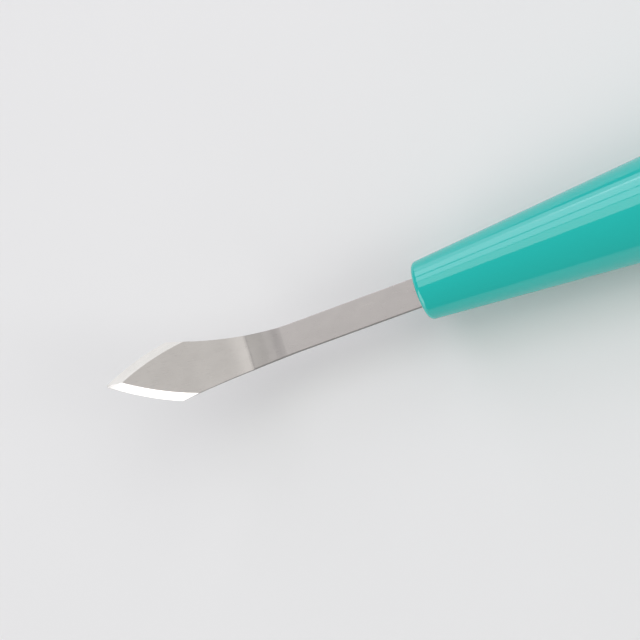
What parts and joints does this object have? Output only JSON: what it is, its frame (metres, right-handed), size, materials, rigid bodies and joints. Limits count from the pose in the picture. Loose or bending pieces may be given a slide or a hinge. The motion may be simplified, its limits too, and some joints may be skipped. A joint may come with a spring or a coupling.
{
  "type": "spudger tool",
  "caption": "Slim electronics prying tool: a round tapered gloss handle holding a narrow bent stainless strip blade with a bevelled arrow-shaped tip.",
  "frame": {"origin": "centre of the flat butt face", "axes": "+X out of the butt along the handle's axis, so the blade's tip is at the far -X end; +Z is the side the blade bends up towards; the tool is symmetric about the XZ plane"},
  "size_m": [0.1559, 0.0164, 0.023],
  "materials": {
    "handle_plastic": "moulded, high gloss",
    "carrier_plastic": "moulded, satin",
    "pin_steel": "ground dowel",
    "blade_steel": "fine satin with brighter ground bevels"
  },
  "bodies": {
    "root": {"handle_shell": "handle_plastic", "end_plug": "handle_plastic", "tang_carrier_upper": "carrier_plastic", "tang_carrier_lower": "carrier_plastic", "tang_pins": "pin_steel", "blade": "blade_steel"}
  },
  "joints": []
}
